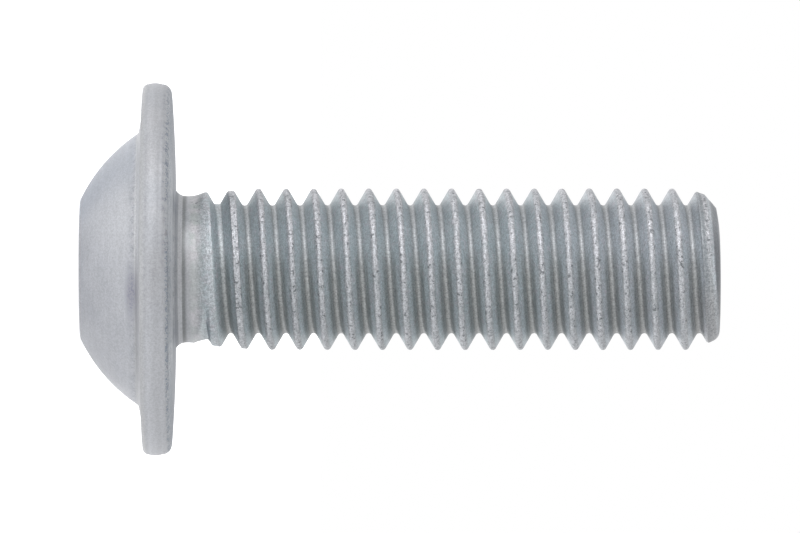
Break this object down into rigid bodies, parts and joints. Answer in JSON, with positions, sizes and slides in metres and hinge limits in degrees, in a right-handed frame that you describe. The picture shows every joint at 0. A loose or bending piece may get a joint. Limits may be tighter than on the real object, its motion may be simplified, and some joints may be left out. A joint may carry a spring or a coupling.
{
  "type": "flanged button head screw",
  "caption": "Domed button head screw with an integral round flange, a hexagon socket and a rolled right-hand thread nearly up to the head.",
  "frame": {"origin": "centre of the head's flat top, which the screw stands on", "axes": "+Z along the screw's axis, from the head to the tip; +X through a corner of the hexagon socket"},
  "size_m": [0.0136, 0.0136, 0.0232],
  "materials": {
    "zinc_plated_steel": "matte zinc plating, slightly mottled, brighter on the worn crest lines"
  },
  "bodies": {
    "root": {"flanged_screw": "zinc_plated_steel"}
  },
  "joints": []
}
